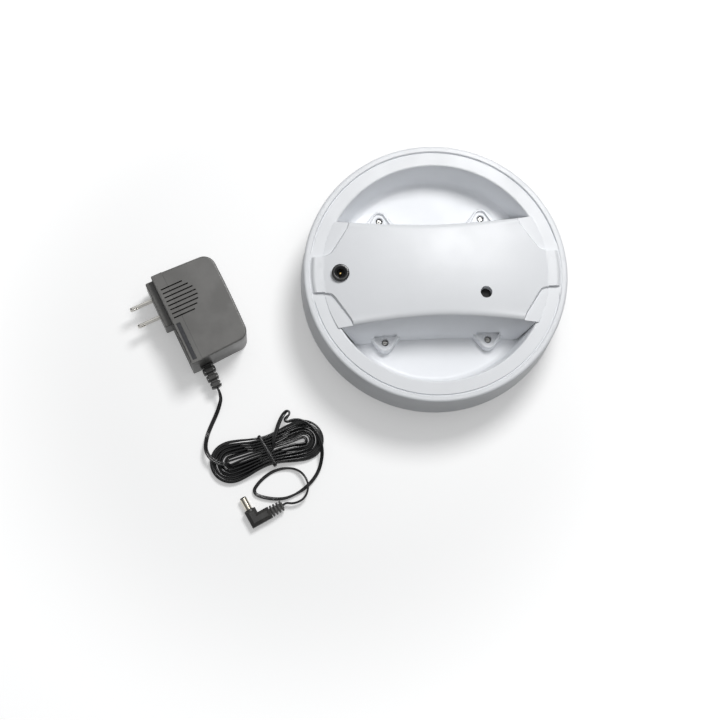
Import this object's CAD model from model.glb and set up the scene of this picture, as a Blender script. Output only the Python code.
"""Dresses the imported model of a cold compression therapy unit: a round motorised cooler lid with a
bridge housing, its wall adapter, and the tied hank of its thin flat lead with a right angle plug.
Lengths in the tables below are millimetres in the part's own frame unless a name says otherwise."""

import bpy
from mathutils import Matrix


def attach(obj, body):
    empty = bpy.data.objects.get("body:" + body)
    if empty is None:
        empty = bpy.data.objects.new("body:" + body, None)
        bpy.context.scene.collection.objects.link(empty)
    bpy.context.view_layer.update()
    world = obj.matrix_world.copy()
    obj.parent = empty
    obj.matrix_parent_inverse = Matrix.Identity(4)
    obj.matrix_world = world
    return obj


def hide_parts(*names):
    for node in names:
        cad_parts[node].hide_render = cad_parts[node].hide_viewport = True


bl_info = {
    "name": "Cold Therapy Unit",
    "version": (1, 0, 0),
    "blender": (4, 5, 0),
    "location": "3D View > Sidebar > Cold Unit",
    "description": "Builds the looks of a cooler lid, its wall adapter and its hanked lead",
    "category": "Object",
}

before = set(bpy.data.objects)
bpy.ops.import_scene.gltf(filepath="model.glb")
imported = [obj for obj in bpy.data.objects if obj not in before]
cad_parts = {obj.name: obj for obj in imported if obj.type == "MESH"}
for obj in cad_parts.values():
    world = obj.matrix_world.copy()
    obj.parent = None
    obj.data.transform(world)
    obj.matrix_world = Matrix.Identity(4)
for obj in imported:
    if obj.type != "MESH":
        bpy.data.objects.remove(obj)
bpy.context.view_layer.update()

from math import acos, atan2, cos, degrees, floor, hypot, pi, radians, sin, tan

import bmesh
import bpy
from mathutils import Matrix, Vector

MM = 0.001
UNIT = "unit"


def turned(degrees, axis="Z"):
    return Matrix.Rotation(radians(degrees), 4, axis)


def moved(x, y, z):
    return Matrix.Translation(Vector((x, y, z)))


HERE = Matrix.Identity(4)
ADAPTER = moved(-191.4, 6, 0) @ turned(-66.7)
HANK = moved(-116.9, -111, 0) @ turned(15.6)
PLUG_END, PLUG_TURN = (-0.9, -38.2, 3.9), 11.4
PLUG = HANK @ moved(*PLUG_END) @ turned(PLUG_TURN) @ moved(-25, -4, -3.9)


# Sizes and colours a user changes

def length(name, text, default):
    return bpy.props.FloatProperty(name=name, description=text, default=default, min=0.0,
                                   subtype="DISTANCE", unit="LENGTH")


def colour(name, text, default):
    return bpy.props.FloatVectorProperty(name=name, description=text, default=default, size=3,
                                         min=0.0, max=1.0, subtype="COLOR")


class COLDUNIT_PG_lid(bpy.types.PropertyGroup):
    groove_depth: length("Groove depth", "Depth of the engraved ring on the rim", 0.0009)
    groove_stop: bpy.props.FloatProperty(
        name="Groove stop", description="Angle from the bridge's ends at which the ring stops",
        default=radians(12.5), min=0.0, subtype="ANGLE", unit="ROTATION")
    floor_fillet: length("Floor fillet", "Radius between the well's wall and its floor", 0.0044)
    steps: bpy.props.IntProperty(name="Steps", description="Faces round the lid", default=288, min=48)


class COLDUNIT_PG_housing(bpy.types.PropertyGroup):
    wall: length("Wall", "Wall thickness of the bridge housing", 0.0022)
    vent_radius: length("Vent radius", "Radius of the air vent", 0.0038)
    screw_head: length("Screw head", "Radius of a housing screw's head", 0.0022)
    jack_radius: length("Bezel radius", "Radius of the power jack's bezel", 0.0059)
    jack_bore: length("Jack bore", "Radius of the power jack's mouth", 0.0027)


class COLDUNIT_PG_adapter(bpy.types.PropertyGroup):
    case_length: length("Case length", "Length of the adapter's case", 0.0668)
    case_width: length("Case width", "Width of the adapter's case", 0.043)
    case_height: length("Case height", "Height of the adapter's case", 0.0306)
    edge: length("Edge", "Radius of the case's edges", 0.0012)
    slots: bpy.props.IntProperty(name="Slots", description="Cooling slots across the seam",
                                 default=8, min=1)
    slot_pitch: length("Slot pitch", "Distance between cooling slots", 0.00305)


class COLDUNIT_PG_lead(bpy.types.PropertyGroup):
    width: length("Lead width", "Width of the flat twin lead", 0.0028)
    thickness: length("Lead thickness", "Thickness of the flat twin lead", 0.0014)
    barrel: length("Barrel radius", "Radius of the plug's barrel", 0.002375)
    tie_width: length("Tie width", "Width of the tie round the hank", 0.002)


class COLDUNIT_PG_finish(bpy.types.PropertyGroup):
    white: colour("Housing white", "Colour of the lid and bridge mouldings", (0.85, 0.865, 0.89))
    charcoal: colour("Adapter charcoal", "Colour of the adapter's case", (0.150, 0.147, 0.141))
    black: colour("Lead black", "Colour of the lead's jacket", (0.012, 0.012, 0.0125))
    nickel: colour("Nickel", "Colour of the blades", (0.66, 0.64, 0.60))


# Meshes

def new_object(name, data):
    obj = bpy.data.objects.new(name, data)
    bpy.context.scene.collection.objects.link(obj)
    return obj


def mesh_piece(name, points, faces, place=HERE):
    """An object whose mesh has the points, in millimetres, moved to their place in the part's frame."""
    mesh = bpy.data.meshes.new(name)
    mesh.from_pydata([(place @ Vector(p)) * MM for p in points], [], faces)
    bm = bmesh.new()
    bm.from_mesh(mesh)
    bmesh.ops.remove_doubles(bm, verts=bm.verts, dist=1e-6)
    bmesh.ops.recalc_face_normals(bm, faces=bm.faces)
    bm.to_mesh(mesh)
    bm.free()
    return new_object(name, mesh)


def settle(obj):
    """Turns what the object's modifiers make into its own plain mesh."""
    bpy.context.view_layer.update()
    made = obj.evaluated_get(bpy.context.evaluated_depsgraph_get())
    mesh = bpy.data.meshes.new_from_object(made)
    obj.modifiers.clear()
    old = obj.data
    obj.data = mesh
    mesh.name = obj.name
    if old.users == 0:
        bpy.data.meshes.remove(old)
    return obj


def modified(obj, kind, **values):
    step = obj.modifiers.new(kind.lower(), kind)
    for name, value in values.items():
        setattr(step, name, value)
    return settle(obj)


def join(obj, *tools, how="UNION"):
    """Adds, cuts or keeps the common part of closed solids, and drops the tools."""
    for tool in tools:
        modified(obj, "BOOLEAN", operation=how, solver="MANIFOLD", object=tool)
        mesh = tool.data
        bpy.data.objects.remove(tool)
        bpy.data.meshes.remove(mesh)
    return obj


def cut(obj, *tools):
    return join(obj, *tools, how="DIFFERENCE")


def rounded(obj, width, segments, angle=50):
    """Rounds the edges sharper than the angle by a width in metres."""
    return modified(obj, "BEVEL", width=width, segments=segments, limit_method="ANGLE",
                    angle_limit=radians(angle), use_clamp_overlap=True, miter_outer="MITER_ARC")


def smooth(obj, angle, even=True):
    obj.data.shade_smooth()
    obj.data.set_sharp_from_angle(angle=radians(angle))
    return modified(obj, "WEIGHTED_NORMAL", keep_sharp=True) if even else obj


def paint(obj, look):
    obj.data.materials.clear()
    obj.data.materials.append(finish(look))
    return obj


def dress(obj, angle, look, slot, *replaced, even=True):
    """Smooths and paints a finished piece, puts it on the unit and says what it stands for."""
    paint(smooth(obj, angle, even), look)
    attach(obj, UNIT)
    if replaced:
        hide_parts(*replaced)


def loft(name, rings, place=HERE):
    """A closed solid through rings of equal counts."""
    n, last = len(rings[0]), (len(rings) - 1) * len(rings[0])
    faces = [(i + k, i + (k + 1) % n, i + n + (k + 1) % n, i + n + k)
             for i in range(0, last, n) for k in range(n)]
    faces += [tuple(range(n))[::-1], tuple(range(last, last + n))]
    return mesh_piece(name, [p for ring in rings for p in ring], faces, place)


def prism(name, outline, z0, z1, place=HERE, grow=1.0):
    """A solid over an outline, whose top is the outline times grow."""
    return loft(name, [[(x, y, z0) for x, y in outline], [(x * grow, y * grow, z1) for x, y in outline]],
                place)


def block(name, low, high, place=HERE):
    (x0, y0, z0), (x1, y1, z1) = low, high
    return prism(name, [(x0, y0), (x1, y0), (x1, y1), (x0, y1)], z0, z1, place)


def lathe(name, profile, place=HERE, steps=96, lift=None):
    """A closed solid of revolution from a loop of (radius, height); lift may move a point up by angle."""
    points, rows = [], []
    for n, (r, z) in enumerate(profile):
        if r < 1e-6:
            rows.append([len(points)] * steps)
            points.append((0, 0, z))
            continue
        rows.append(list(range(len(points), len(points) + steps)))
        for k in range(steps):
            a = 2 * pi * k / steps
            points.append((r * cos(a), r * sin(a), z + (lift(n, a) if lift else 0)))
    faces = []
    for row, after in zip(rows, rows[1:] + rows[:1]):
        if row[0] == row[1] and after[0] == after[1]:
            continue
        for k in range(steps):
            j = (k + 1) % steps
            faces.append(tuple(dict.fromkeys((row[k], row[j], after[j], after[k]))))
    return mesh_piece(name, points, faces, place)


def rod(name, radius, low, high, place=HERE, steps=64):
    return lathe(name, [(0, low), (radius, low), (radius, high), (0, high)], place, steps)


def arc(x, y, radius, start, end, count=10):
    """Points on an arc between two angles in degrees."""
    angles = [radians(start + (end - start) * i / count) for i in range(count + 1)]
    return [(x + radius * cos(a), y + radius * sin(a)) for a in angles]


def filleted(corners, count=8):
    """A closed loop of (x, y, radius) with each corner rounded by its radius."""
    out = []
    for i, (x, y, r) in enumerate(corners):
        if r <= 0:
            out.append((x, y))
            continue
        p, a, b = Vector((x, y)), Vector(corners[i - 1][:2]), Vector(corners[(i + 1) % len(corners)][:2])
        u, v = (a - p).normalized(), (b - p).normalized()
        half = u.angle(v) / 2
        back = min(r / tan(half), 0.49 * (a - p).length, 0.49 * (b - p).length)
        centre = p + (u + v).normalized() * back / cos(half)
        first, last = p + u * back - centre, p + v * back - centre
        sweep = first.angle_signed(last, 0)
        start = atan2(first.y, first.x)
        for k in range(count + 1):
            t = start - sweep * k / count
            out.append((centre.x + first.length * cos(t), centre.y + first.length * sin(t)))
    return out


def through(points, per):
    """A smooth line through the points, with per steps between two of them."""
    p = [Vector(q) for q in points]
    out = []
    for i in range(len(p) - 1):
        a, b, c, d = p[max(i - 1, 0)], p[i], p[i + 1], p[min(i + 2, len(p) - 1)]
        for k in range(per):
            t = k / per
            out.append(0.5 * (2 * b + (c - a) * t + (2 * a - 5 * b + 4 * c - d) * t * t
                              + (3 * b - a - 3 * c + d) * t * t * t))
    return out + [p[-1]]


# Node trees

def put(socket, value):
    """Links another socket to this one, or sets its value."""
    if hasattr(value, "is_linked"):
        socket.id_data.links.new(value, socket)
    else:
        socket.default_value = value


def node(tree, kind, **values):
    """A new node. Names in small letters are its settings, the others its inputs."""
    made = tree.nodes.new(kind)
    for name in sorted(values, key=lambda name: not name.islower()):
        if name.islower():
            setattr(made, name, values[name])
        else:
            put(made.inputs[name.replace("_", " ")], values[name])
    return made


def calc(tree, how, *values, kind="ShaderNodeMath"):
    made = node(tree, kind, operation=how)
    for socket, value in zip(made.inputs, values):
        put(socket, value)
    return made.outputs["Value"]


def times(tree, a, b):
    return calc(tree, "MULTIPLY", a, b)


def vector(tree, x=0.0, y=0.0, z=0.0):
    return node(tree, "ShaderNodeCombineXYZ", X=x, Y=y, Z=z).outputs[0]


def noise(tree, place, scale, detail=3.0, rough=0.6):
    return node(tree, "ShaderNodeTexNoise", Vector=place, Scale=scale, Detail=detail,
                Roughness=rough).outputs["Fac"]


def ramp(tree, value, low, high):
    """0 below low, 1 above high and smooth between."""
    return node(tree, "ShaderNodeMapRange", interpolation_type="SMOOTHSTEP", Value=value, From_Min=low,
                From_Max=high).outputs["Result"]


def new_tree(kind, name, inputs, outputs):
    """A tree with named sockets: a number is a socket's default, and a word is its kind."""
    tree = bpy.data.node_groups.new(name, kind + "NodeTree")
    for side, sockets in (("INPUT", inputs), ("OUTPUT", outputs)):
        for label, value in sockets.items():
            sort = value if isinstance(value, str) else type(value).__name__.capitalize()
            socket = tree.interface.new_socket(label, in_out=side, socket_type="NodeSocket" + sort)
            if sort != value:
                socket.default_value = value
    return tree, tree.nodes.new("NodeGroupInput").outputs, tree.nodes.new("NodeGroupOutput").inputs


def moulded_group():
    """Fine grain of a mould, slow handling marks and rare pits, by sizes in metres."""
    tree, given, out = new_tree("Shader", "Moulded Surface", {
        "Vector": "Vector", "Grain Size": 0.0004, "Mark Size": 0.02, "Pit Size": 0.003},
        {"Grain": "Float", "Marks": "Float", "Pits": "Float"})
    place = given["Vector"]
    grain, mark, pit = (calc(tree, "DIVIDE", 1.0, given[size + " Size"]) for size in ("Grain", "Mark", "Pit"))
    cells = node(tree, "ShaderNodeTexVoronoi", Vector=place, Scale=pit)
    put(out["Grain"], noise(tree, place, grain))
    put(out["Marks"], ramp(tree, noise(tree, place, mark, 4.0, 0.55), 0.35, 0.7))
    put(out["Pits"], calc(tree, "SUBTRACT", 1.0, ramp(tree, cells.outputs["Distance"], 0.03, 0.12)))
    return tree


def drawn_group():
    """Drawn or turned lines that run along X, by their width in metres, and stains."""
    tree, given, out = new_tree("Shader", "Drawn Lines", {
        "Vector": "Vector", "Line Size": 0.0001, "Stretch": 40.0}, {"Lines": "Float", "Stain": "Float"})
    split = node(tree, "ShaderNodeSeparateXYZ", Vector=given["Vector"]).outputs
    drawn = vector(tree, calc(tree, "DIVIDE", split["X"], given["Stretch"]), split["Y"], split["Z"])
    put(out["Lines"], noise(tree, drawn, calc(tree, "DIVIDE", 1.0, given["Line Size"])))
    put(out["Stain"], ramp(tree, noise(tree, given["Vector"], 260.0), 0.42, 0.72))
    return tree


def wound_group():
    """Rows of fine wire or threads laid side by side, by their pitch in metres."""
    tree, given, out = new_tree("Shader", "Wound Rows", {"Vector": "Vector", "Pitch": 0.0005},
                                {"Rows": "Float", "Shade": "Float"})
    wave = node(tree, "ShaderNodeTexWave", bands_direction="X", Vector=given["Vector"], Distortion=0.6,
                Scale=calc(tree, "DIVIDE", 0.31416, given["Pitch"]))
    put(out["Rows"], wave.outputs["Fac"])
    put(out["Shade"], noise(tree, given["Vector"], 900.0, 2.0, 0.5))
    return tree


# Finishes by the group that each is made with. A row has the colour, the one that it varies to, how far,
# the roughness from and to, the bump, the group's own sizes in metres, and what else differs, such as the
# bump's depth in micrometres. A colour is a mix of its own, or one that the user sets times a factor.

MOULDED = {
    "Housing White": (("white", 1), ("white", 0.94), 0.35, 0.36, 0.44, 0.12, (0.0006, 0.03, 0.05)),
    "Neck White": (("white", 0.95), ("white", 0.84), 0.5, 0.42, 0.55, 0.2, (0.0007, 0.04, 0.05)),
    "Adapter Charcoal": (("charcoal", 1), ("charcoal", 1.35), 0.5, 0.3, 0.42, 0.4, (0.00028, 0.018, 0.02),
        {"depth": 30}),
    "Label Film": ((0.02, 0.021, 0.026), (0.036, 0.037, 0.042), 0.6, 0.3, 0.42, 0.1, (0.0005, 0.004)),
    "Lead Jacket": (("black", 1), ("black", 1.9), 0.5, 0.19, 0.27, 0.04, (0.0008, 0.006, 0.02),
        {"IOR": 1.52}),
    "Plug Moulding": ((0.042, 0.041, 0.04), (0.066, 0.064, 0.061), 0.6, 0.32, 0.44, 0.4,
        (0.0003, 0.005, 0.01), {"depth": 30}),
    "Tie Film": ((0.008, 0.008, 0.009), (0.02, 0.02, 0.02), 0.6, 0.14, 0.24, 0.2, (0.0006, 0.003)),
    "Gloss Black": ((0.01, 0.01, 0.011), (0.022, 0.021, 0.02), 0.5, 0.16, 0.26, 0.1, (0.0008, 0.004, 0.02),
        {"Coat Weight": 0.4, "Coat Roughness": 0.12}),
    "Sintered Bronze": ((0.42, 0.27, 0.14), (0.28, 0.17, 0.09), 0.7, 0.45, 0.6, 0.5, (0.0002, 0.003),
        {"Metallic": 1.0}),
    "Ferrite": ((0.05, 0.05, 0.055), (0.09, 0.085, 0.08), 0.6, 0.55, 0.75, 0.5, (0.0003, 0.004, 0.004)),
    "Nylon": ((0.72, 0.69, 0.6), (0.62, 0.58, 0.47), 0.5, 0.38, 0.5, 0.25, (0.0005, 0.008, 0.02),
        {"Subsurface Weight": 0.05}),
    "Seal Rubber": ((0.035, 0.035, 0.036), (0.07, 0.068, 0.065), 0.6, 0.55, 0.75, 0.4, (0.0004, 0.006)),
    "Grey Seal": ((0.13, 0.13, 0.135), (0.2, 0.2, 0.2), 0.5, 0.5, 0.7, 0.4, (0.0006, 0.012)),
    "Vinyl Tube": ((0.7, 0.72, 0.7), (0.6, 0.6, 0.55), 0.4, 0.18, 0.3, 0.1, (0.001, 0.005),
        {"Transmission Weight": 0.35}),
    "Dark Parts": ((0.045, 0.046, 0.052), (0.09, 0.09, 0.1), 0.7, 0.3, 0.5, 0.3, (0.0004, 0.004)),
    "Wire Red": ((0.42, 0.03, 0.02), (0.3, 0.02, 0.015), 0.6, 0.3, 0.45, 0.2, (0.0006, 0.004)),
    "Rigid Foam": ((0.78, 0.72, 0.52), (0.66, 0.58, 0.38), 0.7, 0.7, 0.9, 0.9, (0.0016, 0.01, 0.0022),
        {"depth": 300}),
    "Filter Foam": ((0.018, 0.018, 0.019), (0.05, 0.05, 0.052), 0.8, 0.8, 0.95, 1.0, (0.0006, 0.002, 0.0009),
        {"depth": 300}),
}
DRAWN = {
    "Nickel Plate": (("nickel", 1), ("nickel", 0.78), 0.5, 0.16, 0.3, 0.15, (0.00012, 30.0),
        {"depth": 10, "turn": 66.7, "Metallic": 1.0}),
    "Barrel Plate": ((0.74, 0.7, 0.6), (0.62, 0.57, 0.46), 0.3, 0.2, 0.26, 0.05, (0.00025, 10.0),
        {"depth": 10, "turn": -27, "Metallic": 1.0}),
    "Screw Steel": ((0.46, 0.455, 0.44), (0.3, 0.295, 0.28), 0.6, 0.28, 0.42, 0.15, (0.0001, 4.0),
        {"depth": 10, "Metallic": 1.0}),
    "Motor Steel": ((0.55, 0.55, 0.54), (0.4, 0.39, 0.37), 0.6, 0.25, 0.4, 0.2, (0.00015, 30.0),
        {"Metallic": 1.0}),
    "Brass": ((0.62, 0.43, 0.17), (0.42, 0.27, 0.1), 0.5, 0.22, 0.36, 0.15, (0.00012, 12.0),
        {"Metallic": 1.0}),
}
WOUND = {
    "Wound Copper": ((0.5, 0.18, 0.06), (0.28, 0.08, 0.03), 0.7, 0.22, 0.5, 0.9, (0.0004,),
        {"depth": 150, "Metallic": 0.85}),
    "Stacked Laminations": ((0.2, 0.2, 0.21), (0.1, 0.09, 0.08), 0.7, 0.4, 0.6, 0.7, (0.0007,),
        {"depth": 100, "Metallic": 0.9}),
    "Board Green": ((0.025, 0.13, 0.05), (0.04, 0.2, 0.08), 0.8, 0.25, 0.4, 0.15, (0.0018,)),
}
FINISHES = {moulded_group: MOULDED, drawn_group: DRAWN, wound_group: WOUND}
CAD_NODES = {
    "Motor Steel": "motor_can motor_shaft crank_bearing rod_button relief_yoke relief_plunger relief_spring "
                   "jack_nut jack_spring",
    "Brass": "jack_pin eccentric plug_contact",
    "Sintered Bronze": "motor_bushings",
    "Wound Copper": "armature_winding relief_winding adapter_winding commutator",
    "Stacked Laminations": "armature adapter_core",
    "Ferrite": "motor_magnets",
    "Nylon": "motor_endcap connecting_rod pump_frame pump_side_cover valve_plate pump_head air_fitting "
             "relief_valve_body relief_bobbin",
    "Seal Rubber": "diaphragm diaphragm_centre valve_flaps",
    "Grey Seal": "rim_gasket motor_cradle",
    "Vinyl Tube": "outlet_tube relief_tube",
    "Board Green": "control_board adapter_board",
    "Dark Parts": "board_parts",
    "Wire Red": "wires",
    "Rigid Foam": "insulation",
    "Filter Foam": "intake_filter",
    "Screw Steel": "pump_screws board_screws",
}
MADE = {}


def once(make, *given):
    """What make returns, made only the first time that it is asked for."""
    if (make, given) not in MADE:
        MADE[make, given] = make(*given)
    return MADE[make, given]


def shade(value):
    if isinstance(value[0], str):
        return [v * value[1] for v in getattr(bpy.context.scene.coldunit_finish, value[0])] + [1]
    return [*value, 1]


def finish(name):
    return once(new_finish, name)


def empty_material(name):
    material = bpy.data.materials.new(name)
    material.use_nodes = True
    material.node_tree.nodes.clear()
    return material, material.node_tree


def new_finish(name):
    """A material whose colour, roughness and bump vary by one of the shared groups."""
    make, rows = next((make, rows) for make, rows in FINISHES.items() if name in rows)
    base, second, amount, smoothest, roughest, bump, sizes, *others = rows[name]
    others = dict(*others)
    depth, turn = others.pop("depth", 20) * 1e-6, radians(others.pop("turn", 0))
    moulded = make is moulded_group
    material, tree = empty_material(name)
    place = node(tree, "ShaderNodeMapping", Rotation=(0, 0, turn),
                 Vector=node(tree, "ShaderNodeTexCoord").outputs["Object"])
    pattern = node(tree, "ShaderNodeGroup", node_tree=once(make))
    for socket, value in zip(pattern.inputs, (place.outputs["Vector"], *sizes)):
        put(socket, value)
    fine, broad = pattern.outputs[0], pattern.outputs[1]
    mix = node(tree, "ShaderNodeMix", data_type="RGBA", A=shade(base), B=shade(second),
               Factor=times(tree, broad, amount))
    spread = node(tree, "ShaderNodeMapRange", Value=broad if moulded else fine, To_Min=smoothest,
                  To_Max=roughest)
    if moulded:
        fine = calc(tree, "SUBTRACT", fine, times(tree, pattern.outputs["Pits"], 0.6))
    relief = node(tree, "ShaderNodeBump", Strength=bump, Distance=depth, Height=fine)
    skin = node(tree, "ShaderNodeBsdfPrincipled", Base_Color=mix.outputs["Result"],
                Roughness=spread.outputs["Result"], Normal=relief.outputs["Normal"])
    for socket, value in others.items():
        put(skin.inputs[socket], value)
    node(tree, "ShaderNodeOutputMaterial", Surface=skin.outputs["BSDF"])
    return material


# Geometry node trees

def end_tree(tree, out, geometry, material):
    real = node(tree, "GeometryNodeRealizeInstances", Geometry=geometry)
    coat = node(tree, "GeometryNodeSetMaterial", Geometry=real.outputs[0], Material=material)
    put(out["Geometry"], coat.outputs[0])
    return tree


def placed(tree, shape, shift, **values):
    return node(tree, "GeometryNodeTransform", Geometry=shape.outputs["Mesh"], Translation=shift,
                **values).outputs[0]


def run_tree(name, points, make, place=HERE, **values):
    """Runs a tree on points, with its inputs set by their identifiers, and keeps the plain mesh. The
    place is given in millimetres, for a tree that works in metres."""
    tree, obj = once(make), mesh_piece(name, points, [])
    step = obj.modifiers.new(tree.name, "NODES")
    step.node_group = tree
    for socket in tree.interface.items_tree:
        label = socket.name.replace(" ", "_")
        if socket.in_out == "INPUT" and label in values:
            step[socket.identifier] = values[label]
    settle(obj)
    scaled = place.copy()
    scaled.translation = scaled.translation * MM
    obj.data.transform(scaled)
    obj.data.update()
    return obj


def screw_tree():
    """A cross head screw on every point of the mesh it is given."""
    tree, given, out = new_tree("Geometry", "Screws", {
        "Geometry": "Geometry", "Head Radius": 0.0022, "Head Height": 0.0014, "Shank Radius": 0.0014,
        "Shank Length": 0.0094, "Cross Width": 0.0005, "Material": "Material"}, {"Geometry": "Geometry"})
    radius, height, long = (given[label] for label in ("Head Radius", "Head Height", "Shank Length"))
    half = times(tree, height, 0.5)
    disc = node(tree, "GeometryNodeMeshCylinder", Vertices=40, Radius=radius, Depth=half)
    cap = node(tree, "GeometryNodeMeshCone", Vertices=40, Side_Segments=1, Depth=half,
               Radius_Top=times(tree, radius, 0.62), Radius_Bottom=radius)
    shank = node(tree, "GeometryNodeMeshCylinder", Vertices=24, Radius=given["Shank Radius"], Depth=long)
    screw = node(tree, "GeometryNodeMeshBoolean", operation="UNION")
    for shape, up in ((disc, times(tree, height, 0.25)), (cap, half), (shank, times(tree, long, -0.49))):
        put(screw.inputs["Mesh 2"], placed(tree, shape, vector(tree, z=up)))
    size = vector(tree, times(tree, radius, 1.25), given["Cross Width"], height)
    for angle in (0.4, 0.4 + pi / 2):
        bar = node(tree, "GeometryNodeMeshCube", Size=size)
        less = node(tree, "GeometryNodeMeshBoolean", operation="DIFFERENCE")
        put(less.inputs["Mesh 1"], screw.outputs["Mesh"])
        put(less.inputs["Mesh 2"], placed(tree, bar, vector(tree, z=height), Rotation=(0, 0, angle)))
        screw = less
    turn = node(tree, "FunctionNodeRandomValue", data_type="FLOAT", Seed=7)
    next(s for s in turn.inputs if s.name == "Max" and s.type == "VALUE").default_value = 1.5
    spin = vector(tree, z=next(s for s in turn.outputs if s.type == "VALUE" and s.enabled))
    put_on = node(tree, "GeometryNodeInstanceOnPoints", Points=given["Geometry"],
                  Instance=screw.outputs["Mesh"], Rotation=spin)
    return end_tree(tree, out, put_on.outputs[0], given["Material"])


def row_tree():
    """A row of boxes on +X. Along the row their width and height fall off by a step each, and their width
    towards both ends too. Foot is how far along Y they lie, as a share of their width."""
    tree, given, out = new_tree("Geometry", "Row of Boxes", {
        "Geometry": "Geometry", "Count": 8, "Pitch": 0.00305, "Length": 0.0009, "Width": 0.0216,
        "Height": 0.006, "Foot": 0.5, "Width Fall": 0.0, "Height Fall": 0.0, "End Fall": 0.0,
        "Material": "Material"}, {"Geometry": "Geometry"})
    line = node(tree, "GeometryNodeMeshLine", mode="OFFSET", Count=given["Count"],
                Offset=vector(tree, given["Pitch"]))
    index = node(tree, "GeometryNodeInputIndex").outputs[0]
    away = calc(tree, "SUBTRACT", index, times(tree, calc(tree, "SUBTRACT", given["Count"], 1.0), 0.5))
    wide, high = (calc(tree, "SUBTRACT", given[side], times(tree, index, given[side + " Fall"]))
                  for side in ("Width", "Height"))
    wide = calc(tree, "SUBTRACT", wide, times(tree, times(tree, away, away), given["End Fall"]))
    box = node(tree, "GeometryNodeMeshCube", Size=(1, 1, 1))
    put_on = node(tree, "GeometryNodeInstanceOnPoints", Points=line.outputs["Mesh"],
                  Instance=placed(tree, box, vector(tree, y=given["Foot"])),
                  Scale=vector(tree, given["Length"], wide, high))
    return end_tree(tree, out, put_on.outputs[0], given["Material"])


# Camera and stage, in metres and watts

CAMERA_LENS, CAMERA_SENSOR, CAMERA_CLIP = 81.6, 36.0, (0.01, 50.0)
CAMERA_AT = (-0.1204, -0.2935, 1.0939)
CAMERA_RIGHT, CAMERA_UP = (0.99758, -0.04461, 0.05325), (0.03186, 0.97503, 0.21978)
CAMERA_BACK = (-0.06173, -0.21755, 0.97409)
FLOOR_HALF, FLOOR_TONE, FLOOR_SEEN = 3.0, 0.4, 0.45
GLOW_MIDDLE, GLOW_LEAST = (-0.07, -0.03, 0), 0.33
GLOW_STEPS = ((0.15, 0.30, 0.18), (0.30, 1.3, 0.48))
AIR_COLOUR, AIR_LEVEL, AIR_SEEN = (0.95, 0.98, 1.0, 1), 0.15, 0.85
LAMPS = (("Window", (0.24, 0.52, 1.02), (-0.03, 0.0, 0.02), 0.42, 8.0),
         ("Sky", (0.1, 0.15, 1.7), (0.0, 0.0, 0.02), 2.0, 5.6))


class COLDUNIT_OT_camera(bpy.types.Operator):
    """Sets the camera where the photograph was taken from"""
    bl_idname = "coldunit.camera"
    bl_label = "Camera"

    def execute(self, context):
        lens = bpy.data.cameras.new("Camera")
        lens.lens, lens.sensor_width = CAMERA_LENS, CAMERA_SENSOR
        lens.clip_start, lens.clip_end = CAMERA_CLIP
        camera = new_object("Camera", lens)
        axes = zip(CAMERA_RIGHT, CAMERA_UP, CAMERA_BACK, CAMERA_AT)
        camera.matrix_world = Matrix([*axes, (0, 0, 0, 1)])
        context.scene.camera = camera
        return {"FINISHED"}


def floor_white():
    """A plain floor that takes shadows. What the camera and reflections see of it is whiter, the more so
    the farther it lies from the unit."""
    material, tree = empty_material("Floor White")
    path = node(tree, "ShaderNodeLightPath").outputs
    seen = calc(tree, "MAXIMUM", path["Is Camera Ray"],
                calc(tree, "MAXIMUM", path["Is Glossy Ray"], path["Is Transmission Ray"]))
    tone = calc(tree, "ADD", FLOOR_TONE, times(tree, seen, FLOOR_SEEN))
    away = calc(tree, "DISTANCE", node(tree, "ShaderNodeTexCoord").outputs["Object"], GLOW_MIDDLE,
                kind="ShaderNodeVectorMath")
    glow = GLOW_LEAST
    for low, high, more in GLOW_STEPS:
        glow = calc(tree, "ADD", glow, times(tree, ramp(tree, away, low, high), more))
    both = node(tree, "ShaderNodeAddShader")
    put(both.inputs[0], node(tree, "ShaderNodeBsdfDiffuse", Color=vector(tree, tone, tone, tone)).outputs[0])
    put(both.inputs[1], node(tree, "ShaderNodeEmission", Color=(1, 1, 1, 1),
                             Strength=times(tree, seen, glow)).outputs[0])
    node(tree, "ShaderNodeOutputMaterial", Surface=both.outputs[0])
    return material


class COLDUNIT_OT_stage(bpy.types.Operator):
    """Lays the pale floor, and sets a window at the back right and a broad sky"""
    bl_idname = "coldunit.stage"
    bl_label = "Floor and lights"

    def execute(self, context):
        scene = context.scene
        scene.view_settings.view_transform = "Standard"
        mesh = bpy.data.meshes.new("Floor")
        corners = ((-1, -1, 0), (1, -1, 0), (1, 1, 0), (-1, 1, 0))
        mesh.from_pydata([Vector(corner) * FLOOR_HALF for corner in corners], [], [(0, 1, 2, 3)])
        mesh.materials.append(floor_white())
        new_object("Floor", mesh)
        scene.world = bpy.data.worlds.new("Studio")
        scene.world.use_nodes = True
        tree = scene.world.node_tree
        tree.nodes.clear()
        seen = node(tree, "ShaderNodeLightPath").outputs["Is Camera Ray"]
        air = node(tree, "ShaderNodeBackground", Color=AIR_COLOUR,
                   Strength=calc(tree, "ADD", AIR_LEVEL, times(tree, seen, AIR_SEEN)))
        node(tree, "ShaderNodeOutputWorld", Surface=air.outputs[0])
        for name, spot, aim, size, power in LAMPS:
            lamp = bpy.data.lights.new(name, "AREA")
            lamp.shape, lamp.size, lamp.energy = "DISK", size, power
            light = new_object(name, lamp)
            light.location = spot
            light.rotation_euler = (Vector(aim) - Vector(spot)).to_track_quat("-Z", "Y").to_euler()
        return {"FINISHED"}


# The lead. HANK_R and HANK_HALF are half the hank's width and half the length of its straight runs. Each loop
# is HANK_STEP wider than the last in the lower layer and UPPER_STEP narrower in the upper one, and the tie
# draws their middle in by WAIST. A roll is in degrees, and 90 stands the lead on edge.

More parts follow.
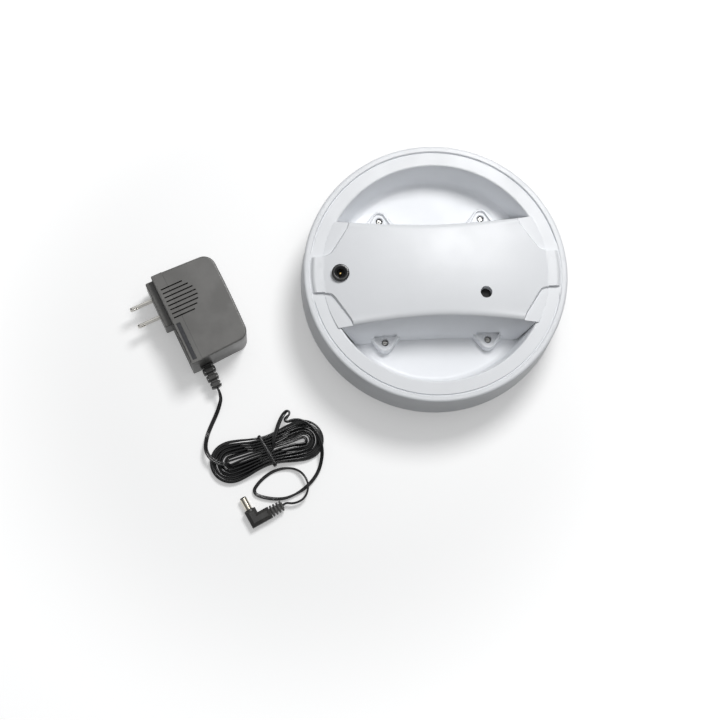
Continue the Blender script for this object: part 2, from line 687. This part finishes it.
HANK_R, HANK_HALF, HANK_STEP, UPPER_STEP, WAIST = 13.8, 25.6, 1.9, 2.42, 3.9
TURNS_IN, TURNS_ALL, TURN_START, LOOP_RINGS, TIE_ROOM = 4.6, 10.1, 0.03, 24, 0.8
END_R, END_RUN = 1.5, 6.0
LAYERS = (1.4, 4.7)
LEAD_W, LEAD_STEPS, LOBE_DEGREES = 2.8, 5, 24
CASE_END, CORD_TIP, CORD_Y, CORD_Z = 66.8, 17.4, 9.9, 9
FROM_ADAPTER = (
    (-19.2, 43.4, 7.4), (-21.2, 39.9, 4.8), (-24, 36.2, 2.6), (-27.4, 32.3, 1.2), (-31.2, 28, 0.75),
    (-34.7, 23.4, 1.2), (-37.2, 18.8, 3), (-38.7, 14.4, 5.6), (-38.9, 10.6, 7), (-37.7, 6.6, 7.2),
    (-35.2, 3.1, 7.2), (-32.4, 0.7, 7.1), (-30.3, -0.3, 7), (-28.4, -0.9, 6), (-26.7, -2, 4),
    (-25.2, -3.4, 2.4), (-23.5, -4.6, 1.6))
ROLL_FROM = [90, 75, 45, 20, 10] + [0] * 10 + [20, 45, 70, 85, 90]
TO_PLUG = (
    (4.3, 0.3, 6.1), (5.1, 1.6, 7.1), (5.7, 3.3, 8), (6.6, 5.5, 8.5), (8.2, 8.2, 8.6), (10.2, 11.1, 8.6),
    (12.4, 14.3, 8.5), (14.7, 17.1, 8.3), (17.2, 19.5, 8), (19.6, 21.2, 7.6), (21.2, 21.5, 7.4),
    (22.1, 20.5, 7.4), (21.6, 19, 7.6), (20, 17.9, 7.9), (18.4, 16.9, 8.2), (17.6, 15.8, 8.4),
    (18, 14.8, 8.4), (19.4, 14.3, 8.3), (21.2, 14.3, 8.2), (23.4, 14, 8.1), (26.6, 12.9, 8),
    (29.9, 10.6, 7.9), (32.8, 7, 7.9), (34.8, 2.2, 7.9), (35.8, -2.9, 7.9), (35.8, -7.7, 7.7),
    (34.9, -12.4, 6.6), (33.4, -16.2, 4.8), (31.4, -19.8, 3), (29, -23, 1.8), (25.6, -26.2, 1.5),
    (21, -29.3, 1.45), (15.6, -31.8, 1.45), (9.6, -33.3, 1.45), (3.7, -33.9, 1.45), (-1.2, -33.3, 1.5),
    (-6, -31.7, 1.55), (-10.6, -29.4, 1.55), (-14.3, -26.9, 1.55), (-16, -24.6, 1.55),
    (-15.8, -22.1, 1.55), (-13.7, -20, 1.55), (-10.2, -17.7, 1.55), (-5.6, -15.6, 1.55),
    (-0.4, -14.2, 1.55), (5.4, -14.1, 1.55), (10.4, -15.2, 1.6), (14.4, -17.3, 2.1), (17.4, -20.6, 3.2),
    (19, -24.6, 4.3), (19.4, -28.8, 4.75), (18.5, -32.5, 4.75), (16.6, -35.7, 4.6), (13.6, -38.1, 4.4),
    (9.8, -39.2, 4.1), (5.8, -39, 3.9))
ROLL_TO = [90, 80, 60, 40, 25, 20, 20, 20, 20, 25, 50, 90, 90, 90, 60, 45, 70, 90, 80, 60, 40, 35, 40, 50,
           50] + [40] * 9 + [75, 60, 45, 35, 35, 40, 45, 50, 55, 60, 60, 65, 75]


def ease(q):
    q = min(max(q, 0.0), 1.0)
    return q * q * (3 - 2 * q)


def loop_point(t):
    """Point and roll of the hank after t loops: a lower layer on edge, and an upper one that lies flat
    and fills the middle, both drawn in at the waist by the tie. The innermost ends are no tighter than
    END_R."""
    upper = t > TURNS_IN
    f, b = (t + TURN_START) % 1.0, HANK_R - (UPPER_STEP if upper else HANK_STEP) * abs(t - TURNS_IN)
    wide, way = max(b, END_R), 1 if f < 0.5 else -1
    if f % 0.5 < 0.25:
        x = (8 * HANK_HALF * (f % 0.5) - HANK_HALF) * way
        end = ease((abs(x) - HANK_HALF + END_RUN) / END_RUN)
        y = -(b + (wide - b) * end) * way
    else:
        a, end = radians(-90 + 720 * (f - 0.25) if f < 0.5 else 90 + 720 * (f - 0.75)), 1.0
        x, y = HANK_HALF * way + wide * cos(a), wide * sin(a)
    pull = cos(pi / 2 * x / HANK_HALF) ** 2 if abs(x) < HANK_HALF else 0.0
    climb = 1 / LOOP_RINGS
    rise = ease((t - TURNS_IN + climb) / (2 * climb))
    low = LAYERS[0] + (LAYERS[1] - LAYERS[0]) * rise + TIE_ROOM * pull
    if not upper:
        return Vector((x, y - (1 if y > 0 else -1) * WAIST * pull, low)), 90.0
    lean = 1 - pull ** 0.6
    sag = lean * (0.95 + 1.2 * ease((5.5 - wide) / 3)) + 0.25 * lean * sin(5.3 * t)
    sag -= 0.75 * (wide - b) * end
    tilt = (10 + 42 * ease((b - 0.7) / 3.5) + 8 * sin(2.3 * t)) * lean
    y *= (1 - WAIST / HANK_R * pull) * (1 - 0.42 * ease(x / 10) * (1 - end) * ease((6.5 - b) / 3.5))
    return Vector((x + 0.5 * lean * sin(3.1 * t), y, low - sag)), 90 - tilt


def lead_route():
    """Points and rolls of the whole lead in the hank's frame, from the adapter to the plug."""
    count = floor(TURNS_ALL * LOOP_RINGS)
    hank, roll_hank = zip(*(loop_point(TURNS_ALL * i / count) for i in range(count + 1)))
    to_hank = HANK.inverted() @ ADAPTER
    start = to_hank @ Vector((CASE_END + CORD_TIP, CORD_Y, CORD_Z))
    way = (start - to_hank @ Vector((CASE_END, CORD_Y, CORD_Z))).normalized()
    join_in = hank[0] - (hank[1] - hank[0]).normalized() * LEAD_W * 0.6
    join_out = hank[-1] + (hank[-1] - hank[-2]).normalized() * LEAD_W * 0.6
    end, turn = Vector(PLUG_END), radians(PLUG_TURN)
    out = Vector((cos(turn), sin(turn), 0)) * LEAD_W
    first = [start, start + way * LEAD_W, *FROM_ADAPTER, join_in]
    last = [join_out, *TO_PLUG, end + out, end]
    rolls = ROLL_FROM + list(roll_hank) + ROLL_TO + [90] * (len(last) - len(ROLL_TO))
    return [Vector(p) for p in (*first, *hank, *last)], rolls


class COLDUNIT_OT_lead(bpy.types.Operator):
    """Makes the flat twin lead from the adapter through its hank to the plug"""
    bl_idname = "coldunit.lead"
    bl_label = "Lead"

    def execute(self, context):
        sizes = context.scene.coldunit_lead
        lobe = sizes.thickness / MM / 2
        reach = sizes.width / MM / 2 - lobe
        half = [(reach + lobe * cos(radians(a)), lobe * sin(radians(a)))
                for a in range(-6 * LOBE_DEGREES, 6 * LOBE_DEGREES + 1, LOBE_DEGREES)]
        section = half + [(-x, -y) for x, y in half]
        points, rolls = lead_route()
        line = through(points, LEAD_STEPS)
        rings = []
        for i, p in enumerate(line):
            forward = (line[min(i + 1, len(line) - 1)] - line[max(i - 1, 0)]).normalized()
            side = Vector((0, 0, 1)).cross(forward).normalized()
            up = forward.cross(side)
            n, part = divmod(i, LEAD_STEPS)
            roll = radians(rolls[n] + (rolls[min(n + 1, len(rolls) - 1)] - rolls[n]) * part / LEAD_STEPS)
            c, s = cos(roll), sin(roll)
            rings.append([p + side * (x * c - y * s) + up * (x * s + y * c) for x, y in section])
        lead = loft("lead", rings, HANK)
        dress(lead, 50, "Lead Jacket", "cord_black", "lead_adapter", "lead_hank", "lead_plug", even=False)
        return {"FINISHED"}


class COLDUNIT_OT_tie(bpy.types.Operator):
    """Bands the hank's waist with a flat tie that has a wire ridge"""
    bl_idname = "coldunit.tie"
    bl_label = "Hank tie"

    def execute(self, context):
        width, slant = context.scene.coldunit_lead.tie_width / MM, 12
        w = (HANK_R - WAIST * 0.955 + 0.7) / cos(radians(slant)) + 0.5
        low, high = TIE_ROOM - 0.2, TIE_ROOM + LAYERS[1] + 1.4 + 0.2
        loop = [Vector(p) for p in filleted([(x, z, 1.2) for x, z in ((-w, low), (w, low), (w, high),
                                                                      (-w, high))])]
        half = [(-0.5, 0.05), (-0.5, 0.26), (-0.34, 0.3), (-0.16, 0.31), (-0.1, 0.46)]
        across = half + [(0, 0.5)] + [(-x, h) for x, h in half[::-1]] + [(0, 0.02)]
        rings = []
        for i, p in enumerate(loop):
            forward = (loop[(i + 1) % len(loop)] - loop[i - 1]).normalized()
            rings.append([(x * width, p.x + forward.y * h, p.y - forward.x * h) for x, h in across])
        n, whole = len(across), len(loop) * len(across)
        faces = [(i + k, i + (k + 1) % n, (i + n) % whole + (k + 1) % n, (i + n) % whole + k)
                 for i in range(0, whole, n) for k in range(n)]
        band = mesh_piece("hank_band", [p for ring in rings for p in ring], faces, HANK @ turned(slant))
        dress(band, 50, "Tie Film", "tie_black", "hank_tie")
        return {"FINISHED"}


class COLDUNIT_OT_plug(bpy.types.Operator):
    """Moulds the right angle plug with its ribs, barrel and insulator"""
    bl_idname = "coldunit.plug"
    bl_label = "Barrel plug"

    def execute(self, context):
        mid, half, inset = 3.9, 3.8, 2.2

        def bevelled(name, x1, y1):
            rings = []
            for z, d in ((-half, inset), (-half + inset * 0.9, 0), (half - inset * 0.9, 0), (half, inset)):
                rings.append([(d, d, mid + z), (x1 - d, d, mid + z), (x1 - d, y1 - d, mid + z),
                              (d, y1 - d, mid + z)])
            return loft(name, rings, PLUG)

        collar = PLUG @ moved(3.8, 9, mid) @ turned(-90, "X")
        body = join(bevelled("plug_moulding", 7.8, 12), bevelled("arm", 15.3, 8), lathe("collar", filleted([
            (0, -1, 0), (3.4, -1, 0), (3.4, 0.6, 0.4), (3.0, 3.4, 0.5), (0, 3.4, 0)], 4), collar, 48),
            block("core", (13.8, 2, mid - 1.9), (25, 6, mid + 1.9), PLUG))
        rounded(body, 0.00045, 3, 25)
        ribs = run_tree("plug_ribs", [(0, 0, 0)], row_tree, PLUG @ moved(16.8, 4, mid), Count=4, Foot=0.0,
                        Pitch=0.00235, Length=0.00125, Width=0.0075, Height=0.006, Width_Fall=0.0002,
                        Height_Fall=0.00035, Material=finish("Plug Moulding"))
        join(body, rounded(ribs, 0.0003, 2, 35), *(
            block("rail", (14.3, y - 0.4, mid - 2.3), (24.2, y + 0.4, mid + 2.3), PLUG) for y in (2.3, 5.7)))
        bore = context.scene.coldunit_lead.barrel / MM
        cut(body, rod("bore", bore - 0.18, 0, 8, collar))
        dress(body, 35, "Plug Moulding", "plug_black", "plug_body")
        sleeve = lathe("plug_sleeve", filleted([
            (bore - 0.45, 0, 0), (bore - 0.2, 0, 0), (bore - 0.2, 3.5, 0), (bore, 3.5, 0.05),
            (bore, 11.7, 0.15), (bore - 0.45, 11.7, 0.15)], 3), collar)
        dress(sleeve, 32, "Barrel Plate", "nickel", "plug_barrel")
        core = lathe("plug_core", filleted([
            (0, 0, 0), (bore - 0.46, 0, 0), (bore - 0.46, 11.7, 0), (bore - 0.04, 11.72, 0.1),
            (bore - 0.3, 12.5, 0.25), (1.45, 12.5, 0.2), (1.2, 12.2, 0), (1.2, 2, 0), (0, 2, 0)], 3),
            collar, 64)
        dress(core, 32, "Gloss Black", "tie_black", "plug_insulator")
        return {"FINISHED"}


# The lid

RIM_Z, SKIRT_Z, WELL_R, WELL_LEAN, WELL_Z = 43.0, 12.7, 75.0, 4.6, 18.5
FOOT_R = WELL_R - WELL_LEAN
NECK_R, NECK_WALL, LID_WALL = 80.5, 2.2, 2.4
GROOVE_R = 84.3


class COLDUNIT_OT_lid(bpy.types.Operator):
    """Turns the lid with its well, engraved rim and rolled skirt, and the neck below it"""
    bl_idname = "coldunit.lid"
    bl_label = "Lid and neck"

    def execute(self, context):
        sizes = context.scene.coldunit_lid
        depth, under = sizes.groove_depth / MM, RIM_Z - LID_WALL
        profile = filleted([
            (0, WELL_Z, 0), (FOOT_R - 20, WELL_Z, 0), (FOOT_R, WELL_Z, sizes.floor_fillet / MM),
            (WELL_R, RIM_Z, 1.2), (80, RIM_Z, 0), (GROOVE_R - 0.48, RIM_Z, 0.14),
            (GROOVE_R - 0.38, RIM_Z - depth, 0.1), (GROOVE_R + 0.38, RIM_Z - depth, 0.1),
            (GROOVE_R + 0.48, RIM_Z, 0.14), (84.95, RIM_Z + 0.1, 0), (85.3, RIM_Z + 0.5, 0.3),
            (89.2, RIM_Z + 0.5, 2.0), (89.15, RIM_Z - 3.6, 1.2), (88.35, RIM_Z - 4.4, 0.3), (90.2, 14.2, 0),
            (90.3, SKIRT_Z, 0.6), (88.1, SKIRT_Z, 0.3), (85.3, under - 3, 0.5), (83.1, under, 0.8),
            (WELL_R + LID_WALL, under, 0.8), (FOOT_R + 1.6, WELL_Z - LID_WALL, 6.4),
            (0, WELL_Z - LID_WALL, 0)])

        def lift(n, a):
            r, z = profile[n]
            groove = abs(r - GROOVE_R) < 0.6 and RIM_Z - depth - 0.1 < z < RIM_Z - 1e-6
            near = min(abs(a), abs(a - pi), abs(a - 2 * pi))
            return RIM_Z - z if groove and near <= sizes.groove_stop else 0

        lid = lathe("lid_moulding", profile, steps=sizes.steps, lift=lift)
        dress(lid, 40, "Housing White", "housing_white", "lid_shell")
        inner, outer = NECK_R - NECK_WALL, NECK_R - 0.9
        neck = lathe("neck_moulding", filleted([
            (0, 0, 0), (60, 0, 0), (NECK_R, 0, 3), (NECK_R, under - 3, 0.3), (outer, under - 3, 0),
            (outer, under, 0.2), (inner, under, 0.2), (inner, NECK_WALL, 1), (0, NECK_WALL, 0)]),
            steps=sizes.steps)
        port = moved(17.5, 27, 0)
        join(neck, rod("port", 5.7, 1, 10, port, 48))
        cut(neck, lathe("bore", [(0, -1), (3.0, -1), (2.5, 0.5), (2.5, 7), (4, 7), (4, 12), (0, 12)],
                        port, 64))
        dress(neck, 40, "Neck White", "neck_white", "neck_base")
        return {"FINISHED"}


# The bridge housing

BRIDGE_R, CROWN_Z, TAB_H, TAB_HALF = 76.5, 52.0, 2.2, 12.2
CORNERS = [(mx, my) for mx in (-1, 1) for my in (-1, 1)]
SCREWS = [(mx * 35, my * 42.8) for mx, my in CORNERS]
SEAT_Z, JACK_X, VENT = WELL_Z + 1.4, 64.4, (32.2, -16.7)
JACK = moved(-JACK_X, 0, 0)
FACET = [(76.4, 13.2), (74.4, 13.4), (72.4, 13.9), (70.7, 14.9), (69.3, 16.4)]
FACET_END = [(59.2, 31.2), (57.6, 35)]


def bow(x):
    return (x / 68) ** 2


def crown_h(x):
    return CROWN_Z - (CROWN_Z - RIM_Z - TAB_H) * (x / (BRIDGE_R - 1)) ** 2


def fold_y(x, least=31.4):
    """Half the width of the bridge's top at a length."""
    return least + 5.6 * (abs(x) / 68) ** 1.7


def bridge(name, d, count, per):
    """The bridge's solid, whose sections run from one foot over the crown to the other. It is smaller by
    d all round."""
    rings = []
    for i in range(count + 1):
        x = -80 + 160 * i / count
        fold, foot, high, crown = fold_y(x), 40.4 + 4.4 * bow(x), 48.5 - 4.5 * bow(x), crown_h(x)
        shoulder, flat = high + 2.0 - 0.7 * bow(x), fold - 5.6
        half = [(fold - d, high - 0.2 * d), (fold - 0.7 - 0.9 * d, high + 0.75 - 0.45 * d),
                (fold - 2.4 - 0.7 * d, high + 1.5 - 0.8 * d), (flat - 0.4 * d, shoulder - d),
                (flat * 0.72, shoulder + (crown - shoulder) * 0.5 - d),
                (flat * 0.4, shoulder + (crown - shoulder) * 0.84 - d), (0, crown - d)]
        whole = [Vector((-y, z)) for y, z in half] + [Vector((y, z)) for y, z in half[-2::-1]]
        top = through(whole, per) if per > 1 else whole
        low, foot = WELL_Z - (1 if d > 0 else 0), foot - 1.05 * d
        rings.append([(x, -foot, low)] + [(x, *p) for p in top] + [(x, foot, low)])
    return loft(name, rings)


def well_solid(name, d, wide, steps):
    """What fills the well, smaller by d, and goes on above it with a wide radius."""
    r = 4.4
    wall = arc(FOOT_R - r, WELL_Z + r, r - d, -90, -10)
    return lathe(name, [(0, WELL_Z + d), *wall, (WELL_R - d, RIM_Z), (wide, RIM_Z), (wide, RIM_Z + 20),
                        (0, RIM_Z + 20)], steps=steps)


def corner_block(mx, my, back, up, low=0.0):
    """The space over one corner facet of the housing, with its sloped inner side."""
    line = [tuple(p) for p in through(FACET, 6)] + FACET_END
    rings = []
    for b, h in ((back, low), (back + (1.5 if up < 5 else 0), up)):
        side = [(x - b * 0.75, y - b * 0.66) for x, y in line] + [(57.6, 46), (90, 46), (90, 13.2 - b)]
        tops = [RIM_Z + 1 - 0.09 * (x - 68) + h for x, y in line + side[-3:]]
        rings.append([(mx * x, my * y, z) for (x, y), z in zip(side, tops)])
    return loft("corner", rings)


def ear(name, x, y, low, high, tip, grow):
    """A solid on a screw ear's plan, straight at its root and round at its tip, at one of the screws."""
    w, y0, c, r, root = tip
    start = degrees(atan2(y0 - c, w) - acos(r / hypot(w, y0 - c)))
    flip = moved(x, y, 0) @ Matrix.Diagonal((1, -1 if y > 0 else 1, 1, 1))
    return prism(name, [(w, y0 + root), (w, y0), *arc(0, c, r, start, -180 - start, 20), (-w, y0),
                        (-w, y0 + root)], WELL_Z + low, WELL_Z + high, flip, grow)


class COLDUNIT_OT_housing(bpy.types.Operator):
    """Moulds the bridge housing with its end tabs, corner facets, screw ears, vent and jack seat"""
    bl_idname = "coldunit.housing"
    bl_label = "Bridge housing"

    def execute(self, context):
        sizes = context.scene.coldunit_housing
        wall, top = sizes.wall / MM, RIM_Z + TAB_H
        shell = bridge("bridge_housing", 0, 110, 5)
        join(shell, well_solid("well", 0.3, BRIDGE_R, 288), how="INTERSECT")
        room = bridge("room", wall, 30, 1)
        inside = well_solid("inside", wall + 0.3, BRIDGE_R - wall, 96)
        join(inside, rod("foot", 66, WELL_Z - 2, WELL_Z + 4, steps=96))
        cut(inside, *(corner_block(mx, my, 4, 8, -wall) for mx, my in CORNERS))
        cut(shell, join(room, inside, how="INTERSECT"))
        cut(shell, *(corner_block(mx, my, 0, 3) for mx, my in CORNERS))
        side = [(x, fold_y(x, 31.85) + 1.6 * (1 - bow(x)), 0) for x in range(-60, 61, 6)]
        end = [(BRIDGE_R - 9.7, -37.35, 3.2), (BRIDGE_R + 8, -13, 0), (BRIDGE_R + 8, 13, 0),
               (BRIDGE_R - 9.7, 37.35, 3.2)]
        plan = end + side[::-1] + [(-x, y, r) for x, y, r in end[::-1]] + [(x, -y, r) for x, y, r in side]
        trim = block("trim", (-120, -90, RIM_Z - 0.2), (120, 90, 70))
        cut(shell, cut(trim, prism("plan", filleted(plan), RIM_Z - 5, 80)))
        tabs = lathe("tabs", [(BRIDGE_R - 6, RIM_Z), (BRIDGE_R - 6, top - 0.1),
                              *arc(GROOVE_R - 3.1, top - 2.6, 2.6, 90, 20), (GROOVE_R + 0.2, RIM_Z)],
                     steps=288)
        join(shell, join(tabs, block("cheeks", (-100, -TAB_HALF, 0), (100, TAB_HALF, 80)), how="INTERSECT"))
        join(shell, *(rounded(ear("ear", x, y, 0, 6.2, (10.8, 2.9, -1.4, 5.8, 2.2), 0.9), 0.0009, 4)
                      for x, y in SCREWS))
        vent_low, vent_top, deck = crown_h(VENT[0]) - 11, crown_h(VENT[0]) - 0.25, crown_h(JACK_X)
        vent = moved(*VENT, 0)
        join(shell, rod("duct", 5.3, vent_low, vent_low + 9.6, vent),
             rod("seat", 6.6, deck - 2.6, deck - 0.4, JACK))
        head = sizes.screw_head / MM + 0.15
        for x, y in SCREWS:
            cut(shell, rounded(ear("pocket", x, y, 4.3, 9.4, (7.8, 4.1, -1.2, 4.0, 0.3), 1.06), 0.0006, 3))
            cut(shell, lathe("hole", [
                (0, WELL_Z - 1), (1.6, WELL_Z - 1), (1.6, SEAT_Z), (head, SEAT_Z), (head, WELL_Z + 3.8),
                (head + 0.4, WELL_Z + 4.3), (head + 0.4, 30), (0, 30)], moved(x, y, 0), 64))
        r = sizes.vent_radius / MM
        cut(shell, lathe("jack", [
            (0, 30), (4.65, 30), (4.65, deck - 2.6), (4.65, deck), (6.0, deck), (6.0, 60), (0, 60)], JACK),
            rod("nut", 7.2, deck - 6.6, deck - 2.6, JACK), lathe("vent", [
                (0, vent_low - 1), (1.8, vent_low - 1), (1.8, vent_low + 1.4), (r, vent_low + 1.4),
                (r, vent_top - 0.7), (r + 0.5, vent_top + 0.6), (r + 0.5, 70), (0, 70)], vent))
        dress(shell, 28, "Housing White", "housing_white", "housing_cover")
        return {"FINISHED"}


class COLDUNIT_OT_screws(bpy.types.Operator):
    """Drives the four cross head screws of the housing"""
    bl_idname = "coldunit.screws"
    bl_label = "Housing screws"

    def execute(self, context):
        screws = run_tree("screws", [(x, y, SEAT_Z) for x, y in SCREWS], screw_tree,
                          Head_Radius=context.scene.coldunit_housing.screw_head,
                          Material=finish("Screw Steel"))
        dress(screws, 30, "Screw Steel", "screw_steel", "housing_screws")
        return {"FINISHED"}


class COLDUNIT_OT_jack(bpy.types.Operator):
    """Turns the power jack's rounded bezel with its funnelled mouth"""
    bl_idname = "coldunit.jack"
    bl_label = "Power jack"

    def execute(self, context):
        sizes = context.scene.coldunit_housing
        deck, bezel, bore = crown_h(JACK_X), sizes.jack_radius / MM, sizes.jack_bore / MM
        top = deck + 2.3
        jack = lathe("jack_bezel", filleted([
            (0, 34, 0), (4.6, 34, 0), (4.6, deck, 0), (bezel, deck, 0.2), (bezel, top, 1.3),
            (bore + 1.5, top, 0.5), (bore + 0.7, top - 0.45, 0.2), (bore, top - 1.0, 0.3), (bore, 37, 0),
            (0, 37, 0)], 6), JACK)
        cut(jack, rod("pin_hole", 0.82, 33, 38, JACK, 32),
            block("leaf_hole", (2.6, -1.1, 33), (3.2, 1.1, 43), JACK))
        dress(jack, 35, "Gloss Black", "bezel_black", "jack_bushing")
        return {"FINISHED"}


# The adapter

SEAM, CASE_WALL, PLATE_Y = 7.9, 2.2, -5.1
BLADES, BLADE_HALF, BLADE_LONG = (18.1 - 6.35, 18.1 + 6.35), 3.175, 16.4


def case_outline(long, wide, d):
    """Plan of the case's long half: sides that lean in a little, a bowed far side and round far corners."""
    low, far, bow_out = SEAM - (1 if d > 0 else 4), wide + 0.7 - d, 0.6
    u0, u1 = 1.5 + d, long - 1.85 - d
    bowed = [(u1 - (u1 - u0) * i / 10, far - bow_out * (1 - sin(pi * i / 10)), 0) for i in range(3, 8)]
    return filleted([(d, low, 0), (long - d, low, 0), (u1, far - bow_out, 7.5 - d), *bowed,
                     (u0, far - bow_out, 8.5 - d)], 10)


class COLDUNIT_OT_adapter(bpy.types.Operator):
    """Moulds the adapter's two case halves with their slots, label strip and plug block"""
    bl_idname = "coldunit.adapter"
    bl_label = "Wall adapter"

    def execute(self, context):
        sizes = context.scene.coldunit_adapter
        long, wide, high = (v / MM for v in (sizes.case_length, sizes.case_width, sizes.case_height))
        wall, end, look = CASE_WALL, 9, "Adapter Charcoal"

        def box(name, low, far, edge=0.0, steps=3):
            made = block(name, low, far, ADAPTER)
            return rounded(made, edge, steps) if edge else made

        case = rounded(prism("adapter_shell", case_outline(long, wide, 0), 0, high, ADAPTER), sizes.edge, 4)
        cut(case, box("seam", (-end, -end, -end), (long + end, SEAM, high + end)),
            prism("hollow", case_outline(long, wide, wall), wall, high - wall, ADAPTER))
        cover = box("adapter_cover_shell", (0, 0, 0), (long, SEAM + 4, high), sizes.edge * 0.6)
        cut(cover, box("seam", (-end, SEAM - 0.1, -end), (long + end, SEAM + end, high + end)))
        join(cover, box("plate", (1.4, PLATE_Y, (high - 18) / 2), (34.8, 3, (high + 18) / 2), 0.0009))
        cut(cover, box("hollow", (wall, wall, wall), (long - wall, SEAM + 1, high - wall)))
        for shell in (case, cover):
            cut(shell, run_tree("bars", [(0, 0, 0)], row_tree, ADAPTER @ moved(11.5, 2.4, high),
                                Count=sizes.slots, Pitch=sizes.slot_pitch, Length=0.0009, Width=0.0216,
                                Height=0.006, End_Fall=0.0005, Material=finish(look)))
            cut(shell, box("exit", (long - wall - 1, 7.3, 7.2), (long + 1, 12.5, 10.8)))
        cut(cover, run_tree("bars", [(0, 0, 0)], row_tree, ADAPTER @ moved(36.8, -0.4, high / 2), Count=24,
                            Pitch=0.0012, Length=0.00065, Width=0.0011, Height=0.032,
                            Material=finish(look)))
        cut(cover, box("strip", (37, 1.8, high - 0.4), (64.5, 4.9, high + 1)), *(
            box("slit", (u - 0.77, -6.1, high / 2 - 3.2), (u + 0.77, 4.9, high / 2 + 3.2)) for u in BLADES))
        dress(case, 30, look, "case_charcoal", "adapter_case")
        dress(cover, 30, look, "case_charcoal", "adapter_cover")
        label = box("label_strip", (37.15, 1.95, high - 0.39), (64.35, 4.75, high - 0.22), 0.0001, 2)
        dress(label, 30, "Label Film", "case_charcoal")
        return {"FINISHED"}


class COLDUNIT_OT_blades(bpy.types.Operator):
    """Stamps the two flat blades with their holes and eased tips"""
    bl_idname = "coldunit.blades"
    bl_label = "Blades"

    def execute(self, context):
        mid, tip = context.scene.coldunit_adapter.case_height / MM / 2, PLATE_Y - BLADE_LONG
        low, high = mid - BLADE_HALF, mid + BLADE_HALF
        on_side = Matrix(((0, 0, 1, 0), (1, 0, 0, 0), (0, 1, 0, 0), (0, 0, 0, 1)))
        pair = None
        for u in BLADES:
            plan = filleted([(tip, low, 1.6), (6, low, 0), (6, high, 0), (tip, high, 1.6)], 6)
            blade = prism("blades", plan, 0, 1.5, ADAPTER @ moved(u - 0.75, 0, 0) @ on_side)
            rounded(blade, 0.00022, 3)
            cut(blade, rod("hole", 1.55, -5, 5, ADAPTER @ moved(u, tip + 4, mid) @ turned(90, "Y"), 40))
            pair = blade if pair is None else join(pair, blade)
        dress(pair, 35, "Nickel Plate", "nickel", "plug_blades")
        return {"FINISHED"}


class COLDUNIT_OT_relief(bpy.types.Operator):
    """Moulds the ribbed strain relief where the lead leaves the adapter"""
    bl_idname = "coldunit.relief"
    bl_label = "Strain relief"

    def execute(self, context):
        at = ADAPTER @ moved(context.scene.coldunit_adapter.case_length / MM, CORD_Y, CORD_Z)
        relief = rounded(block("cord_relief", (-4.8, -2.5, -1.7), (17.1, 2.5, 1.7), at), 0.0005, 3)
        ribs = run_tree("relief_ribs", [(0, 0, 0)], row_tree, at @ moved(4.2, 0, 0), Count=3, Foot=0.0,
                        Pitch=0.0054, Length=0.004, Width=0.009, Height=0.0064, Width_Fall=0.00085,
                        Material=finish("Plug Moulding"))
        join(relief, rounded(ribs, 0.0009, 4), *(
            rounded(block("flange", low, high, at), edge, 3) for low, high, edge in (
                ((0, -4.5, -3.2), (1.2, 4.5, 3.2), 0.0004), ((-5, -4.4, -3), (-3.4, 4.4, 3), 0.0004),
                ((15.4, -2.2, -2.4), (CORD_TIP, 2.2, 2.4), 0.0005))))
        cut(relief, *(block("notch", (x, y - 0.6, -5), (x + 1.6, y + 0.6, 5), at)
                      for y in (-3.2, 3.2) for x in (3.4, 8.8, 14.2)))
        dress(relief, 35, "Plug Moulding", "plug_black", "adapter_relief")
        return {"FINISHED"}


class COLDUNIT_OT_inside(bpy.types.Operator):
    """Gives the pump, motor, valve, boards and other kept CAD pieces their materials"""
    bl_idname = "coldunit.inside"
    bl_label = "Inner pieces"

    def execute(self, context):
        for look, members in CAD_NODES.items():
            for member in members.split():
                paint(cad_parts[member], look)
        return {"FINISHED"}


# Add-on

SETTINGS = {"lid": COLDUNIT_PG_lid, "housing": COLDUNIT_PG_housing, "adapter": COLDUNIT_PG_adapter,
            "lead": COLDUNIT_PG_lead, "finish": COLDUNIT_PG_finish}
STEPS = (COLDUNIT_OT_camera, COLDUNIT_OT_plug, COLDUNIT_OT_tie, COLDUNIT_OT_lead, COLDUNIT_OT_stage,
         COLDUNIT_OT_lid, COLDUNIT_OT_housing, COLDUNIT_OT_screws, COLDUNIT_OT_jack, COLDUNIT_OT_adapter,
         COLDUNIT_OT_blades, COLDUNIT_OT_relief, COLDUNIT_OT_inside)


class COLDUNIT_PT_panel(bpy.types.Panel):
    """Lists the pieces and their sizes"""
    bl_label = "Cold Therapy Unit"
    bl_idname = "COLDUNIT_PT_panel"
    bl_space_type = "VIEW_3D"
    bl_region_type = "UI"
    bl_category = "Cold Unit"

    def draw(self, context):
        for key in SETTINGS:
            box = self.layout.box()
            box.label(text=key.capitalize())
            values = getattr(context.scene, "coldunit_" + key)
            for name in values.__annotations__:
                box.prop(values, name)
        for step in STEPS:
            self.layout.operator(step.bl_idname)


CLASSES = (*SETTINGS.values(), *STEPS, COLDUNIT_PT_panel)


def register():
    for cls in CLASSES:
        bpy.utils.register_class(cls)
    for key, kind in SETTINGS.items():
        setattr(bpy.types.Scene, "coldunit_" + key, bpy.props.PointerProperty(type=kind))


def unregister():
    for key in SETTINGS:
        delattr(bpy.types.Scene, "coldunit_" + key)
    for cls in reversed(CLASSES):
        bpy.utils.unregister_class(cls)


def main():
    register()
    for step in STEPS:
        getattr(bpy.ops.coldunit, step.bl_idname.split(".")[1])()


if __name__ == "__main__":
    main()
